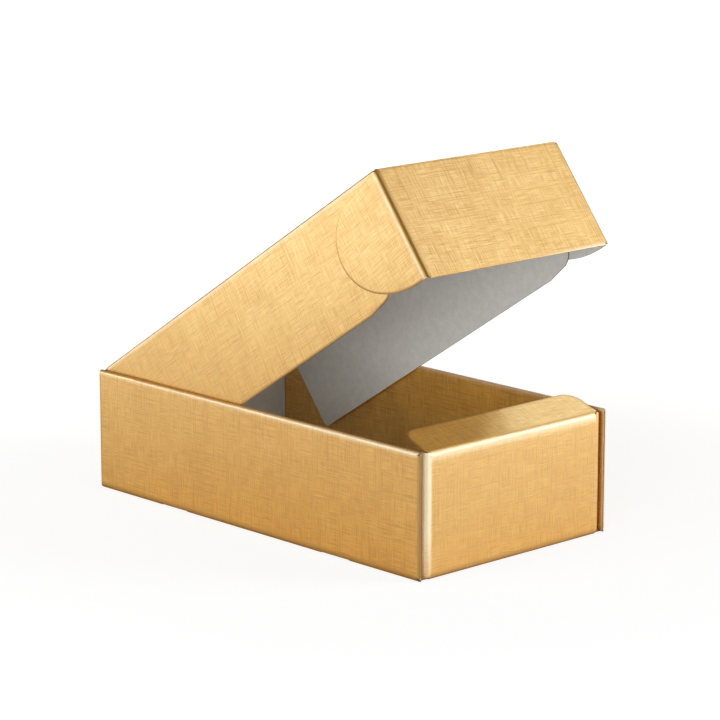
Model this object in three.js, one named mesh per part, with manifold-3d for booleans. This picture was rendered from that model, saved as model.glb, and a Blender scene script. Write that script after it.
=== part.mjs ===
// A gift box for two bottles, folded from one blank of thin gold board.
// A shallow tray with rolled-over double side walls is closed by a hinged lid,
// whose side flaps and rounded ears drop into slits beside the front corners.
// Millimetres, +Z up. The origin is the middle of the tray's underside, the hinge is
// at the rear (+Y) and the box opens at the front (-Y).
import * as THREE from "three";
import { mergeVertices } from "three/addons/utils/BufferGeometryUtils.js";
import Module from "manifold-3d";

// Outside sizes of the tray
const length = 340;
const width = 185;
const height = 90;

// Board and folds
const board = 1;
const foldRadius = 3;
const creaseRadius = 1.5;
const foldSteps = 6;

// Folds that are rounder or sharper than the others
const frontFoldRadius = 4;
const sideTopRadius = 2.2;
const innerTopRadius = 1;

// Space between the two layers of a side wall, which holds the rear corner flap
const coreWidth = 1.2;

// Free space between boards
const slideGap = 0.3;
const earGap = 0.2;
const lidRestGap = 0.5;
const cutGap = 0.3;
const lipGap = 0.2;

// Corner flaps of the tray
const cornerFlapLength = 62;
const cornerFlapTaper = 7;
const cornerFlapRound = 12;

// Lock tabs of the rolled-in walls and the slots that hold them
const tabLength = 28;
const tabFromMiddle = 86;
const tabTipAboveFloor = 0.1;
const slotEndGap = 0.4;

// Dust flap on the front wall
const dustFlapDepth = 29;
const dustFlapRound = 14;
const dustFlapSideGap = 1.3;
const dustFlapRootTaper = 1;
const dustFlapRootRun = 1.2;

// Lid
const frontPanelGap = 5.5;
const lidSideDepth = 83.5;
const lidSideRearStart = 2;
const lidSideRearSlope = 8;
const lidSideRearRound = 5;
const lidSideTaperRun = 17;
const lidSideTaperRise = 3;
const lidSideCornerBack = 40;
const lidSideCornerRound = 13.5;
const lidSideFrontLean = 62;
const lidSideFrontGap = 1;
const frontPanelDepth = 84.5;

// Rounded ears on the lid's front panel
const earDepth = 67.8;
const earNoseDown = 37;
const earTopDrop = 4.8;
const earTopStraight = 34;
const earRootDrop = 1.4;
const earBottomGap = 1;
const earSteps = 14;

// Pose in which the box stands
const lidOpenAngle = 32.5;
const frontPanelSwing = 5;
const dustFlapRaise = 20;

// Places across the width, from the outside in
const sideOutside = width / 2;
const coreOutside = sideOutside - board;
const rearFlapOutside = coreOutside - (coreWidth - board) / 2;
const coreInside = coreOutside - coreWidth;
const sideInside = coreInside - board;
const earOutside = sideInside - slideGap;
const earInside = earOutside - board;
const lidSideOutside = earInside - earGap;
const lidSideInside = lidSideOutside - board;
const frontFlapOutside = lidSideInside - slideGap;
const frontFlapInside = frontFlapOutside - board;

// Places along the length and up the height
const halfLength = length / 2;
const halfBoard = board / 2;
const creaseInner = creaseRadius - board;
const foldInner = foldRadius - board;
const outerTop = height - sideTopRadius;
const innerTop = height - innerTopRadius;
const sideTopInner = sideTopRadius - board;
const roundX = sideOutside - sideTopRadius;
const roundY = sideTopRadius - halfLength;
const frontHeight = height - board - lidRestGap;
const flapFoot = board + cutGap;
const hingeY = halfLength - halfBoard;
const hingeZ = height - halfBoard;
const frontCreaseZ = frontHeight - halfBoard;
const foldClear = halfBoard + cutGap;
const lidLength = hingeY + halfLength + frontPanelGap + board;

const wasm = await Module();
wasm.setup();

const goldBoard = { color: 0xd9a45c, roughness: 0.42, metalness: 0.35 };
const shadedBoard = { color: 0xb5803f, roughness: 0.5, metalness: 0.3 };

// Points of a round or oval stretch, from one angle to another in degrees
function arc(centreA, centreB, radiusA, radiusB, from, to, steps) {
  const points = [];
  for (let i = 0; i <= steps; i += 1) {
    const angle = THREE.MathUtils.degToRad(from + ((to - from) * i) / steps);
    points.push([centreA + radiusA * Math.cos(angle), centreB + radiusB * Math.sin(angle)]);
  }
  return points;
}

function fold(centreA, centreB, radius, from, to) {
  return arc(centreA, centreB, radius, radius, from, to, foldSteps);
}

function extrude(points, low, high, basis) {
  const shape = new THREE.Shape(points.map(([a, b]) => new THREE.Vector2(a, b)));
  const geometry = new THREE.ExtrudeGeometry(shape, { depth: high - low, bevelEnabled: false });
  geometry.translate(0, 0, low);
  geometry.applyMatrix4(basis);
  return geometry;
}

const xAxis = new THREE.Vector3(1, 0, 0);
const yAxis = new THREE.Vector3(0, 1, 0);
const zAxis = new THREE.Vector3(0, 0, 1);

// A (y, z) profile carried along X
function alongX(points, low, high) {
  return extrude(points, low, high, new THREE.Matrix4().makeBasis(yAxis, zAxis, xAxis));
}

// An (x, z) profile carried along Y
function alongY(points, low, high) {
  const basis = new THREE.Matrix4().makeBasis(xAxis, zAxis, yAxis.clone().negate());
  return extrude(points, -high, -low, basis);
}

// An (x, y) profile carried along Z
function alongZ(points, low, high) {
  return extrude(points, low, high, new THREE.Matrix4());
}

// The same points on the right (side 1) or the left (side -1) of the box
function onSide(points, side) {
  return points.map(([x, other]) => [x * side, other]);
}

// A stretch across the width from inner to outer, on one side
function sideSpan(inner, outer, side) {
  return side > 0 ? [inner, outer] : [-outer, -inner];
}

function toSolid(geometry) {
  const bare = geometry.clone();
  bare.deleteAttribute("normal");
  bare.deleteAttribute("uv");
  const merged = mergeVertices(bare, 1e-5);
  const vertProperties = new Float32Array(merged.attributes.position.array);
  const triVerts = new Uint32Array(merged.index.array);
  return new wasm.Manifold(new wasm.Mesh({ numProp: 3, vertProperties, triVerts }));
}

function toGeometry(solid) {
  const mesh = solid.getMesh();
  const geometry = new THREE.BufferGeometry();
  geometry.setAttribute("position", new THREE.BufferAttribute(mesh.vertProperties, 3));
  geometry.setIndex(new THREE.BufferAttribute(mesh.triVerts, 1));
  const faceted = geometry.toNonIndexed();
  faceted.computeVertexNormals();
  return faceted;
}

function join(...geometries) {
  return toGeometry(geometries.map(toSolid).reduce((whole, piece) => whole.add(piece)));
}

function cut(geometry, ...tools) {
  return toGeometry(tools.map(toSolid).reduce((whole, tool) => whole.subtract(tool), toSolid(geometry)));
}

function piece(name, geometry, look) {
  const mesh = new THREE.Mesh(geometry, new THREE.MeshStandardMaterial(look));
  mesh.name = name;
  return mesh;
}

const sides = [
  { side: -1, label: "left" },
  { side: 1, label: "right" },
];
const tabCentres = [-tabFromMiddle, tabFromMiddle];
const slotHalf = tabLength / 2 + slotEndGap;

// The floor, with an open slot in each long edge for every lock tab
function bottomPanel() {
  const edge = sideOutside - creaseRadius;
  const end = halfLength - creaseRadius;
  const slotInside = sideInside - cutGap;
  const rightEdge = [[edge, -end]];
  for (const centre of tabCentres) {
    rightEdge.push([edge, centre - slotHalf]);
    rightEdge.push([slotInside, centre - slotHalf]);
    rightEdge.push([slotInside, centre + slotHalf]);
    rightEdge.push([edge, centre + slotHalf]);
  }
  rightEdge.push([edge, end]);
  const leftEdge = onSide(rightEdge, -1).reverse();
  return piece("bottom_panel", alongZ([...rightEdge, ...leftEdge], 0, board), goldBoard);
}

// What is taken off the sharp front corner of a side wall to round it
function frontCornerTool(side) {
  const beyond = halfLength + board;
  const corner = [
    ...fold(roundX, roundY, sideTopRadius, 0, -90),
    [roundX, -beyond],
    [sideOutside + board, -beyond],
    [sideOutside + board, roundY],
  ];
  return alongZ(onSide(corner, side), -board, height + board);
}

// The outer layer of a side wall turns up from the floor through a rounded crease,
// which is cut away where a lock tab shows
function sideWallOuter(side, label) {
  const creaseX = sideOutside - creaseRadius;
  const profile = [
    ...fold(creaseX, creaseRadius, creaseRadius, -90, 0),
    [sideOutside, outerTop],
    [coreOutside, outerTop],
    ...fold(creaseX, creaseRadius, creaseInner, 0, -90),
  ];
  const wall = alongY(onSide(profile, side), roundY, halfLength);
  const [low, high] = sideSpan(creaseX - board, sideOutside + board, side);
  const notches = tabCentres.map((centre) => {
    const square = [
      [low, centre - slotHalf],
      [high, centre - slotHalf],
      [high, centre + slotHalf],
      [low, centre + slotHalf],
    ];
    return alongZ(square, -board, board);
  });
  return piece(`side_wall_outer_${label}`, cut(wall, ...notches), goldBoard);
}

// At the front the outer layer is turned in as a narrow lip, which closes the space
// between the two layers
function sideWallLip(side, label) {
  const lipEnd = coreInside + lipGap - roundX;
  const outerTurn = THREE.MathUtils.radToDeg(Math.acos(lipEnd / sideTopRadius));
  const innerTurn = THREE.MathUtils.radToDeg(Math.acos(lipEnd / sideTopInner));
  const bend = [
    ...fold(roundX, roundY, sideTopRadius, 0, -outerTurn),
    ...fold(roundX, roundY, sideTopInner, -innerTurn, 0),
  ];
  return piece(`side_wall_lip_${label}`, alongZ(onSide(bend, side), cutGap, outerTop), goldBoard);
}

// The narrow strip on top rolls the wall over through a round crease and a sharp one
function sideWallTop(side, label) {
  const innerCrease = sideInside + innerTopRadius;
  const profile = [
    ...fold(roundX, outerTop, sideTopRadius, 0, 90),
    ...fold(innerCrease, innerTop, innerTopRadius, 90, 180),
    [coreInside, innerTop],
    ...fold(roundX, outerTop, sideTopInner, 90, 0),
  ];
  const strip = alongY(onSide(profile, side), -halfLength, halfLength);
  return piece(`side_wall_top_${label}`, cut(strip, frontCornerTool(side)), goldBoard);
}

// The rolled-in layer stands on the floor and is held by two lock tabs in the slots
function sideWallInner(side, label) {
  const front = -halfLength;
  const rear = halfLength - foldRadius - slideGap;
  const outline = [[front, board]];
  for (const centre of tabCentres) {
    outline.push([centre - tabLength / 2, board]);
    outline.push([centre - tabLength / 2 + board, tabTipAboveFloor]);
    outline.push([centre + tabLength / 2 - board, tabTipAboveFloor]);
    outline.push([centre + tabLength / 2, board]);
  }
  outline.push([rear, board], [rear, innerTop], [front, innerTop]);
  const layer = alongX(outline, ...sideSpan(sideInside, coreInside, side));
  return piece(`side_wall_inner_${label}`, layer, goldBoard);
}

// An end wall's profile from the floor crease to a half-round crease at its top,
// with its outer face on the positive side
function endWallProfile(topAxis) {
  const creaseY = halfLength - creaseRadius;
  return [
    ...fold(creaseY, creaseRadius, creaseRadius, -90, 0),
    ...fold(halfLength - halfBoard, topAxis, halfBoard, 0, 180),
    ...fold(creaseY, creaseRadius, creaseInner, 0, -90),
  ];
}

function rearWall() {
  const half = rearFlapOutside - foldRadius;
  return piece("rear_wall", alongX(endWallProfile(hingeZ), -half, half), goldBoard);
}

function frontWall() {
  const half = frontFlapOutside - frontFoldRadius;
  const profile = endWallProfile(frontCreaseZ).map(([y, z]) => [-y, z]);
  return piece("front_wall", alongX(profile, -half, half), goldBoard);
}

// A corner flap turns back along the side wall through a rounded upright fold;
// end is 1 at the rear and -1 at the front
function cornerFlap(name, outside, end, side, radius, top) {
  const foldX = outside - radius;
  const foldY = halfLength - radius;
  const bend = [
    ...fold(foldX, foldY, radius, 90, 0),
    [outside, foldY - board],
    [outside - board, foldY - board],
    ...fold(foldX, foldY, radius - board, 0, 90),
  ];
  const tip = halfLength - foldRadius - cornerFlapLength;
  const tipFoot = flapFoot + cornerFlapTaper;
  const tipTop = top - cornerFlapTaper;
  const round = cornerFlapRound;
  const outline = [
    [foldY, flapFoot],
    [foldY, top],
    ...arc(tip + round, tipTop - round, round, round, 90, 180, foldSteps),
    ...arc(tip + round, tipFoot + round, round, round, 180, 270, foldSteps),
  ];
  const bendSolid = alongZ(onSide(bend, side).map(([x, y]) => [x, y * end]), flapFoot, top);
  const plate = outline.map(([y, z]) => [y * end, z]);
  const plateSolid = alongX(plate, ...sideSpan(outside - board, outside, side));
  return piece(name, join(bendSolid, plateSolid), goldBoard);
}

// The dust flap, drawn level from its crease on the front wall
function dustFlap() {
  const half = frontFlapInside - dustFlapSideGap;
  const tip = dustFlapDepth - halfBoard;
  const round = dustFlapRound;
  const rightEdge = [
    [half - dustFlapRootTaper, foldClear],
    [half, foldClear + dustFlapRootRun],
    ...arc(half - round, tip - round, round, round, 0, 90, 2 * foldSteps),
  ];
  const leftEdge = onSide(rightEdge, -1).reverse();
  const plate = alongZ([...rightEdge, ...leftEdge], -halfBoard, halfBoard);
  return piece("dust_flap", plate, shadedBoard);
}

// The lid's parts are drawn shut, from the hinge crease towards the front
const frontFoldY = -(lidLength - halfBoard);
const lidSideTop = halfBoard - creaseRadius;
const lidSideEdge = lidSideOutside - creaseRadius;

function lidPanel() {
  const profile = [
    [-foldClear, -halfBoard],
    [-foldClear, halfBoard],
    ...fold(frontFoldY, 0, halfBoard, 90, 270),
  ];
  return piece("lid_panel", alongX(profile, -lidSideEdge, lidSideEdge), goldBoard);
}

// A side flap hangs from the lid through a rounded crease. Its rear edge slopes forward.
// Its lower edge rises a little, turns a round corner and leans forward up to the lid,
// so that it swings into the slit
function lidSideFlap(side, label) {
  const front = -(lidLength - foldRadius - lidSideFrontGap);
  const bottom = halfBoard - lidSideDepth;
  const taperTurn = Math.atan2(lidSideTaperRise, lidSideTaperRun);
  const frontTurn = THREE.MathUtils.degToRad(lidSideFrontLean);
  const cornerStart = lidSideCornerBack - lidLength;
  const cornerY = cornerStart + lidSideCornerRound * Math.sin(taperTurn);
  const cornerZ = bottom + lidSideTaperRise + lidSideCornerRound * Math.cos(taperTurn);
  const cornerEnd = cornerY - lidSideCornerRound * Math.sin(frontTurn);
  const cornerTop = cornerZ - lidSideCornerRound * Math.cos(frontTurn);
  const taperDegrees = THREE.MathUtils.radToDeg(taperTurn);
  const rearFoot = -(lidSideRearStart + lidSideRearSlope);
  const round = lidSideRearRound;
  const outline = [
    [-lidSideRearStart, lidSideTop],
    ...arc(rearFoot - round, bottom + round, round, round, 0, -90, foldSteps),
    [cornerStart + lidSideTaperRun, bottom],
    ...arc(cornerY, cornerZ, lidSideCornerRound, lidSideCornerRound,
      -90 - taperDegrees, -90 - lidSideFrontLean, 2 * foldSteps),
    [front, cornerTop + (cornerEnd - front) * Math.tan(frontTurn)],
    [front, lidSideTop],
  ];
  const bend = [
    ...fold(lidSideEdge, lidSideTop, creaseRadius, 90, 0),
    [lidSideOutside, lidSideTop - board],
    [lidSideInside, lidSideTop - board],
    ...fold(lidSideEdge, lidSideTop, creaseInner, 0, 90),
  ];
  const plate = alongX(outline, ...sideSpan(lidSideInside, lidSideOutside, side));
  const rolled = alongY(onSide(bend, side), front, -lidSideRearStart - board);
  return piece(`lid_side_flap_${label}`, join(plate, rolled), goldBoard);
}

// The front panel is drawn hanging from its crease on the lid, square to the lid
const frontPanelFoot = halfBoard - frontPanelDepth;
const earEdge = earOutside - foldRadius;

function lidFrontPanel() {
  const profile = [
    [-halfBoard, -foldClear],
    [-halfBoard, frontPanelFoot],
    [halfBoard, frontPanelFoot],
    [halfBoard, -foldClear],
  ];
  return piece("lid_front_panel", alongX(profile, -earEdge, earEdge), goldBoard);
}

// An ear turns back from the front panel outside the lid's side flap. Its free edge is
// two quarter ovals that meet at the nose
function lidEar(side, label) {
  const foldY = foldRadius - halfBoard;
  const nose = earDepth - halfBoard;
  const noseZ = halfBoard - earNoseDown;
  const rootTop = halfBoard - earRootDrop;
  const ovalTop = halfBoard - earTopDrop;
  const ovalY = earTopStraight - halfBoard;
  const foot = frontPanelFoot + earBottomGap;
  const footTurn = THREE.MathUtils.radToDeg(Math.acos(foldRadius / earDepth));
  const outline = [
    [foldY, rootTop],
    ...arc(ovalY, noseZ, nose - ovalY, ovalTop - noseZ, 90, 0, earSteps),
    ...arc(-halfBoard, noseZ, earDepth, noseZ - foot, 0, -footTurn, earSteps).slice(1),
  ];
  const bend = [
    ...fold(earEdge, foldY, foldRadius, -90, 0),
    [earOutside, foldY + board],
    [earInside, foldY + board],
    ...fold(earEdge, foldY, foldInner, 0, -90),
  ];
  const plate = alongX(outline, ...sideSpan(earInside, earOutside, side));
  const rolled = alongZ(onSide(bend, side), foot, rootTop);
  return piece(`lid_ear_${label}`, join(plate, rolled), goldBoard);
}

const tray = new THREE.Group();
tray.add(bottomPanel(), rearWall(), frontWall());
for (const { side, label } of sides) {
  tray.add(sideWallOuter(side, label));
  tray.add(sideWallLip(side, label));
  tray.add(sideWallTop(side, label));
  tray.add(sideWallInner(side, label));
  tray.add(cornerFlap(`rear_corner_flap_${label}`, rearFlapOutside, 1, side, foldRadius, outerTop));
  tray.add(cornerFlap(`front_corner_flap_${label}`, frontFlapOutside, -1, side, frontFoldRadius, frontHeight));
}

const frontCrease = new THREE.Group();
frontCrease.position.set(0, -hingeY, frontCreaseZ);
frontCrease.rotation.x = THREE.MathUtils.degToRad(dustFlapRaise);
frontCrease.add(dustFlap());

const lidFront = new THREE.Group();
lidFront.position.set(0, frontFoldY, 0);
lidFront.rotation.x = THREE.MathUtils.degToRad(-frontPanelSwing);
lidFront.add(lidFrontPanel());

const lid = new THREE.Group();
lid.position.set(0, hingeY, hingeZ);
lid.rotation.x = THREE.MathUtils.degToRad(-lidOpenAngle);
lid.add(lidPanel(), lidFront);
for (const { side, label } of sides) {
  lid.add(lidSideFlap(side, label));
  lidFront.add(lidEar(side, label));
}

const box = new THREE.Group();
box.add(tray, frontCrease, lid);

export default box;
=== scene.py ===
# A gift box for two bottles, folded from one blank of thin gold board, standing open.
from math import atan2, cos, degrees, pi, radians, sin, sqrt, tan

import bmesh
import bpy
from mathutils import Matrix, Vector


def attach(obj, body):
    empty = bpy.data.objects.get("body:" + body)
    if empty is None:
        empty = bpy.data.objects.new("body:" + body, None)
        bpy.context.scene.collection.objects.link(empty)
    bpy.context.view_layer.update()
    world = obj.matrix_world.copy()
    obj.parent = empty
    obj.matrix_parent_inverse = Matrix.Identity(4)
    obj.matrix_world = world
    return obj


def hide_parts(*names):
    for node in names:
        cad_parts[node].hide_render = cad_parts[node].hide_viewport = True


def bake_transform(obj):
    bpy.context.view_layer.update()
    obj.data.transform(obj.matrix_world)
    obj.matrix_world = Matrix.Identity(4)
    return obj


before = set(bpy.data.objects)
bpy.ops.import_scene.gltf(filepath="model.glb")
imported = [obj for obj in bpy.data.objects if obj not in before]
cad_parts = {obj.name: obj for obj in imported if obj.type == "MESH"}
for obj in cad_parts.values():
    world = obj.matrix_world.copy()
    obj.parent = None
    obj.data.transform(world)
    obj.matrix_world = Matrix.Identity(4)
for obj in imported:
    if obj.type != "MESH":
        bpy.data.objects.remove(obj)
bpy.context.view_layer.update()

# The bottom panel is the middle of the blank, and every wall turns up from it.
# Thin fluted board: a gold film embossed like linen outside, plain grey paper inside.
# Two slots along each long edge take the lock tabs of the rolled-in side walls.
MM = 0.001  # sizes here are in millimetres
BOARD = 1.0
HALF_WIDTH = 92.5
HALF_LENGTH = 170.0
CREASE = 1.5  # outside radius of the crease under an end wall
SIDE_CREASE = 2.2  # the same under a side wall
SEAM = 1.0  # from the start or end of a crease to where two panels meet
NEAR = 0.01  # a spot this close to a line lies on it


def add_node(tree, kind, inputs=(), **settings):
    node = tree.nodes.new(kind)
    for name, value in settings.items():
        setattr(node, name, value)
    for socket, value in dict(inputs).items():
        if isinstance(value, bpy.types.NodeSocket):
            tree.links.new(value, node.inputs[socket])
        else:
            node.inputs[socket].default_value = value
    return node


def calculate(tree, operation, first, second=0.0, third=0.0):
    values = {0: first, 1: second, 2: third}
    return add_node(tree, "ShaderNodeMath", values, operation=operation).outputs[0]


def blend_colours(tree, share, first, second):
    node = add_node(tree, "ShaderNodeMix", data_type="RGBA")
    for socket, value in ((0, share), (6, first), (7, second)):
        if isinstance(value, bpy.types.NodeSocket):
            tree.links.new(value, node.inputs[socket])
        else:
            node.inputs[socket].default_value = value
    return node.outputs[2]


def map_range(tree, value, low, high, new_low=0.0, new_high=1.0):
    inputs = {
        "Value": value, "From Min": low, "From Max": high,
        "To Min": new_low, "To Max": new_high,
    }
    return add_node(tree, "ShaderNodeMapRange", inputs).outputs[0]


def grain(tree, place, along_u, along_v, shift=0.0, detail=1.0):
    """Uneven grain whose marks are along_u by along_v millimetres."""
    scale = (1 / along_u, 1 / along_v, 1.0)
    inputs = {"Vector": place, "Scale": scale, "Location": (shift, shift, 0.0)}
    mapped = add_node(tree, "ShaderNodeMapping", inputs)
    inputs = {"Vector": mapped.outputs[0], "Scale": 1.0, "Detail": detail, "Roughness": 0.5}
    return add_node(tree, "ShaderNodeTexNoise", inputs, noise_dimensions="2D").outputs["Fac"]


def new_material(name):
    material = bpy.data.materials.new(name)
    material.use_nodes = True
    material.node_tree.nodes.clear()
    return material, material.node_tree


def finish_material(tree, shader_inputs):
    shader = add_node(tree, "ShaderNodeBsdfPrincipled", shader_inputs)
    add_node(tree, "ShaderNodeOutputMaterial", {"Surface": shader.outputs[0]})


def gold_film():
    """Satin gold film over a linen emboss: fine threads both ways, in patches, and long slubs.
    The mesh's crease value is painted light: 1 gives a painted highlight along a fold or edge,
    -1 painted shade that turns the film brown."""
    material, tree = new_material("gold_linen_film")
    place = add_node(tree, "ShaderNodeAttribute", attribute_name="blank").outputs["Vector"]
    crease = add_node(tree, "ShaderNodeAttribute", attribute_name="crease").outputs["Fac"]
    rim = add_node(tree, "ShaderNodeAttribute", attribute_name="rim").outputs["Fac"]
    thread = 0.6
    thread_run = 13.0
    warp = grain(tree, place, thread, thread_run)
    weft = grain(tree, place, thread_run, thread, 7.3)
    patch = map_range(tree, grain(tree, place, 14.0, 9.0, 3.1), 0.38, 0.62, 0.25, 0.75)
    mixed = add_node(tree, "ShaderNodeMix", {0: patch, 2: warp, 3: weft}, data_type="FLOAT")
    slub = 0.8
    slub_run = 70.0
    slub_u = map_range(tree, grain(tree, place, slub, slub_run, 11.7, 0.0), 0.64, 0.76)
    slub_v = map_range(tree, grain(tree, place, slub_run, slub, 23.9, 0.0), 0.64, 0.76)
    slubs = calculate(tree, "MAXIMUM", slub_u, slub_v)
    relief = map_range(tree, mixed.outputs[0], 0.34, 0.66)
    cloudy = map_range(tree, grain(tree, place, 30.0, 22.0, 31.0, 2.0), 0.3, 0.7)
    tone = calculate(tree, "MULTIPLY_ADD", relief, 0.8, calculate(tree, "MULTIPLY", cloudy, 0.2))
    tone = calculate(tree, "MULTIPLY_ADD", slubs, -0.4, tone)
    deep = (0.62, 0.23, 0.0, 1.0)
    light = (0.90, 0.41, 0.02, 1.0)
    # pale is the painted highlight's colour; brown is painted shade's and the pressed rim's own
    # brown.
    pale = (1.0, 0.87, 0.70, 1.0)
    brown = (0.46, 0.20, 0.02, 1.0)
    # Above 0 the crease value blends in the painted highlight, below 0 painted shade, darkly
    # metallic.
    painted_highlight_share = map_range(tree, crease, 0.0, 1.0, 0.0, 0.85)
    # The rim browns as the pressed margin's tone and as painted shade; a painted highlight clears
    # it.
    rim_brown_and_shade = calculate(tree, "MULTIPLY", rim, map_range(tree, painted_highlight_share, 0.0, 0.5, 1.0, 0.0))
    shade_and_rim_share = calculate(tree, "MAXIMUM", map_range(tree, crease, 0.0, -1.0), rim_brown_and_shade)
    colour = blend_colours(tree, tone, deep, light)
    colour = blend_colours(tree, painted_highlight_share, colour, pale)
    colour = blend_colours(tree, shade_and_rim_share, colour, brown)
    bare_metal = map_range(tree, tone, 0.0, 1.0, 0.38, 0.0)
    shade_and_rim_metal = calculate(tree, "MULTIPLY", shade_and_rim_share, 0.7)
    outside_painted_highlight = map_range(tree, painted_highlight_share, 0.0, 1.0, 1.0, 0.0)
    metal = calculate(tree, "MAXIMUM", bare_metal, shade_and_rim_metal)
    metal = calculate(tree, "MINIMUM", metal, outside_painted_highlight)
    satin = map_range(tree, tone, 0.0, 1.0, 0.42, 0.28)
    roughness = calculate(tree, "MULTIPLY_ADD", painted_highlight_share, 0.3, satin)
    step = 0.04 * MM
    bump = add_node(tree, "ShaderNodeBump", {"Strength": 0.8, "Distance": step, "Height": relief})
    finish_material(tree, {
        "Base Color": colour, "Metallic": metal, "Roughness": roughness, "Normal": bump.outputs[0],
        "IOR": 2.42, "Specular IOR Level": 1.0, "Specular Tint": (0.92, 1.0, 0.67, 1.0),
    })
    return material


def grey_paper():
    """Plain uncoated paper, slightly mottled, with short fibres in every direction."""
    material, tree = new_material("grey_inside_paper")
    place = add_node(tree, "ShaderNodeAttribute", attribute_name="blank").outputs["Vector"]
    mottle = grain(tree, place, 6.0, 6.0, 5.0, 4.0)
    fibre = 0.5
    fibre_run = 3.0
    fibres_v = grain(tree, place, fibre, fibre_run, 2.0, 2.0)
    fibres_u = grain(tree, place, fibre_run, fibre, 9.0, 2.0)
    fibres = calculate(tree, "ADD", fibres_v, fibres_u)
    tone = calculate(tree, "MULTIPLY_ADD", fibres, 0.5, calculate(tree, "MULTIPLY", mottle, 0.7))
    dark = (0.65, 0.65, 0.63, 1.0)
    light = (0.79, 0.79, 0.77, 1.0)
    colour = blend_colours(tree, map_range(tree, tone, 0.5, 1.2), dark, light)
    nap = 0.04 * MM
    bump = add_node(tree, "ShaderNodeBump", {"Strength": 0.3, "Distance": nap, "Height": tone})
    roughness = map_range(tree, tone, 0.5, 1.2, 0.9, 0.78)
    finish_material(tree, {
        "Base Color": colour, "Roughness": roughness, "Normal": bump.outputs[0],
        "Specular IOR Level": 0.3,
    })
    return material


def cut_edge():
    """The cut edge of the board, whose fluted brown middle layer shows between two papers."""
    material, tree = new_material("cut_board_edge")
    place = add_node(tree, "ShaderNodeAttribute", attribute_name="blank").outputs["Vector"]
    split = add_node(tree, "ShaderNodeSeparateXYZ", {"Vector": place})
    flute_pitch = 2.3
    flute_height = 0.22
    turn = calculate(tree, "MULTIPLY", split.outputs["X"], 2 * pi / flute_pitch)
    wave = calculate(tree, "MULTIPLY_ADD", calculate(tree, "SINE", turn), flute_height, BOARD / 2)
    away = calculate(tree, "ABSOLUTE", calculate(tree, "SUBTRACT", split.outputs["Z"], wave))
    paper = map_range(tree, away, 0.22, 0.10)
    fibres = grain(tree, place, 0.6, 0.6, 4.0, 3.0)
    # The colour of the hollows between the flutes is painted shade.
    flute_shade = (0.15, 0.07, 0.018, 1.0)
    deep = (0.30, 0.15, 0.04, 1.0)
    light = (0.44, 0.24, 0.08, 1.0)
    colour = blend_colours(tree, paper, flute_shade, blend_colours(tree, fibres, deep, light))
    step = 0.1 * MM
    bump = add_node(tree, "ShaderNodeBump", {"Strength": 0.5, "Distance": step, "Height": paper})
    roughness = map_range(tree, fibres, 0.3, 0.7, 0.75, 0.92)
    finish_material(tree, {
        "Base Color": colour, "Roughness": roughness, "Normal": bump.outputs[0],
        "Specular IOR Level": 0.2,
    })
    return material


GOLD = gold_film()
GREY = grey_paper()
EDGE = cut_edge()


def divide(flat, axis, places):
    """Cut a flat mesh across one axis (0 for u, 1 for v) at each of the places."""
    for place in places:
        parts = flat.verts[:] + flat.edges[:] + flat.faces[:]
        point = Vector((0, 0, 0))
        point[axis] = place
        normal = Vector((0, 0, 0))
        normal[axis] = 1.0
        bmesh.ops.bisect_plane(flat, geom=parts, dist=1e-5, plane_co=point, plane_no=normal)


def rim_normals(flat):
    """For each vertex on the cut outline, the way out of the board, lengthened at corners."""
    found = {}
    for edge in flat.edges:
        if len(edge.link_faces) != 1:
            continue
        loop = edge.link_loops[0]
        first = loop.vert
        second = loop.link_loop_next.vert
        run = (second.co - first.co).normalized()
        for vertex in (first, second):
            found.setdefault(vertex.index, []).append(Vector((run.y, -run.x, 0)))
    outward = {}
    for index, normals in found.items():
        mean = sum(normals, Vector((0, 0, 0))).normalized()
        outward[index] = mean / max(mean.dot(normals[0]), 0.5)
    return outward


def rim_room(flat, outward, steady, wanted, cuts):
    """How far each vertex of the cut outline can move in: less beside a short side of it,
    and less where the mesh is divided close along it."""
    sharp_turn = radians(25)
    nearly_square = 0.98
    share_of_side = 0.3
    share_of_cut = 0.6
    onward = {}
    for edge in flat.edges:
        if len(edge.link_faces) == 1:
            loop = edge.link_loops[0]
            onward[loop.vert.index] = loop.link_loop_next.vert.index
    flat.verts.ensure_lookup_table()
    spots = {index: flat.verts[index].co for index in onward}
    before = {after: index for index, after in onward.items()}

    def is_corner(index):
        coming = spots[index] - spots[before[index]]
        going = spots[onward[index]] - spots[index]
        return coming.angle(going) > sharp_turn

    room = {index: wanted for index in onward}
    for start in [index for index in onward if is_corner(index)]:
        run = [start]
        along = 0.0
        index = start
        while index == start or not is_corner(index):
            along += (spots[onward[index]] - spots[index]).length
            index = onward[index]
            run.append(index)
        for index in run:
            room[index] = min(room[index], along * share_of_side)
    for index, way_out in outward.items():
        for axis in (0, 1):
            if abs(way_out[axis]) < nearly_square:
                continue
            for place in cuts[axis]:
                inward = (spots[index][axis] - place) * way_out[axis]
                if inward > 1e-4:
                    room[index] = min(room[index], inward * share_of_cut)
    return {index: 0.0 if steady[index] else room[index] for index in outward}


# Cutting presses the board's margin down a little. RIM gives how far the surface stands
# back from the cut, and its depth below the gold face. The film turns brown there, as the pressed
# margin's own tone and as painted shade along the cut edge.
PRESSED = 2.2
RIM = (
    (PRESSED, 0.0), (0.8, 0.02), (0.0, 0.14), (0.0, 0.22), (0.08, 0.27),
    (0.08, 0.73), (0.0, 0.78), (0.0, 0.90), (0.10, BOARD),
)
RIM_BROWN_AND_SHADE = (0.0, 0.75, 1.0, 1.0, 1.0, 1.0, 1.0, 1.0, 0.0)
FILM = 0
PAPER = 1
CUT = 2
RIM_MATERIALS = (FILM, FILM, CUT, CUT, CUT, CUT, CUT, CUT)
SHARP_EDGE = radians(32)


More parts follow.
